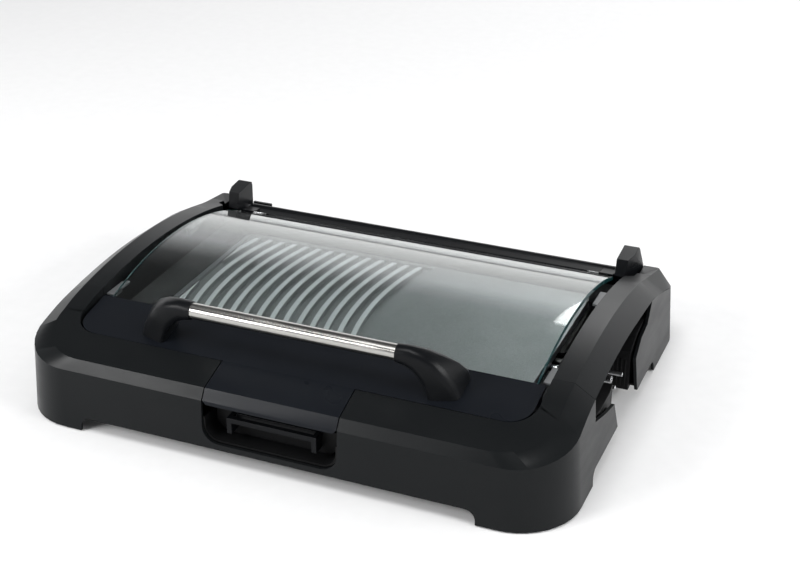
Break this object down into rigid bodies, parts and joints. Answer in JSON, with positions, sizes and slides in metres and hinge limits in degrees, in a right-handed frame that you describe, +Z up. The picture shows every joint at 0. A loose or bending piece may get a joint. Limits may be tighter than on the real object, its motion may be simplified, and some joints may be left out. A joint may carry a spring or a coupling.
{
  "type": "electric indoor grill",
  "caption": "Countertop electric grill with a hinged arched glass lid, bar handle, half ribbed and half flat cooking plate, and a pull-out drip tray.",
  "frame": {"origin": "centre of the housing's footprint, on the surface that the feet stand on", "axes": "+X to the inlet side, +Y to the hinge side, +Z up; the handle faces -Y"},
  "size_m": [0.5398, 0.3968, 0.1267],
  "materials": {
    "black_plastic": "satin moulded black plastic",
    "inner_plastic": "matt dark heat-resistant plastic",
    "rubber": "matt black rubber",
    "steel": "plain bright steel",
    "bright_sheet": "bright rolled sheet",
    "nonstick": "dark grey non-stick coating on cast aluminium",
    "element_tube": "dull heat-dark steel tube",
    "lid_glass": "clear tempered glass with a faint green edge",
    "rod_steel": "brushed stainless steel along the rod"
  },
  "bodies": {
    "base": {"base_housing": "black_plastic", "side_cover_left": "black_plastic", "side_cover_right": "black_plastic", "well_liner": "inner_plastic", "bottom_plate": "inner_plastic", "rubber_feet": "rubber", "base_screws": "steel", "heat_reflector": "bright_sheet", "grill_plate": "nonstick", "heating_element": "element_tube", "element_clips": "steel", "inlet_shroud": "inner_plastic", "terminal_pins": "steel", "probe_sleeve": "steel", "lid_rests": "steel", "tray_bay": "inner_plastic", "hinge_post_left": "black_plastic", "hinge_post_right": "black_plastic"},
    "lid": {"lid_glass": "lid_glass", "front_panel": "black_plastic", "tongue_backing": "inner_plastic", "glass_seal": "rubber", "rear_rail": "black_plastic", "hinge_pins": "steel", "glass_clips": "steel", "handle_rod": "rod_steel", "handle_post_left": "black_plastic", "handle_post_right": "black_plastic", "handle_screws": "steel"},
    "tray": {"drip_tray": "inner_plastic", "tray_handle": "black_plastic"}
  },
  "joints": [
    {"name": "lid_hinge", "type": "hinge", "parent": "base", "child": "lid", "pos_m": [0, 0.18, 0.0672], "axis": [-1, 0, 0], "range_deg": [0, 75]},
    {"name": "tray_slide", "type": "slide", "parent": "base", "child": "tray", "axis": [0, -1, 0], "range_m": [0, 0.17]}
  ]
}
